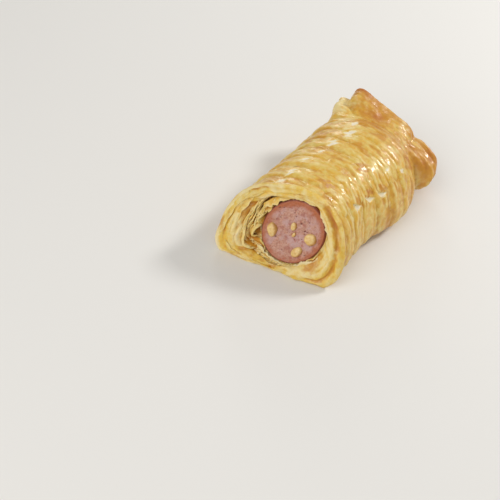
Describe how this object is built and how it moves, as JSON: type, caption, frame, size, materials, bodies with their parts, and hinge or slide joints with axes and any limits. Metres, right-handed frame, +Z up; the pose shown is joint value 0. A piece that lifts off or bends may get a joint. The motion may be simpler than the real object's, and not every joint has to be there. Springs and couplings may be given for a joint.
{
  "type": "plaited sausage and cheese pie half",
  "caption": "Half of a plaited puff-pastry roll, cut on the slant to show its cheese-flecked sausage and flaky layers, with a folded far end and a flat base.",
  "frame": {"origin": "middle of the footprint, on the flat base", "axes": "+Y along the roll from the cut face to the folded end, +Z up from the base"},
  "size_m": [0.0556, 0.0988, 0.0336],
  "materials": {
    "crust": "egg-washed golden puff pastry",
    "sausage": "moist cut sausage",
    "cheese": "soft melted cheese"
  },
  "bodies": {
    "root": {"pastry": "crust", "sausage": "sausage", "cheese_1": "cheese", "cheese_2": "cheese", "cheese_3": "cheese", "cheese_4": "cheese", "cheese_5": "cheese"}
  },
  "joints": []
}
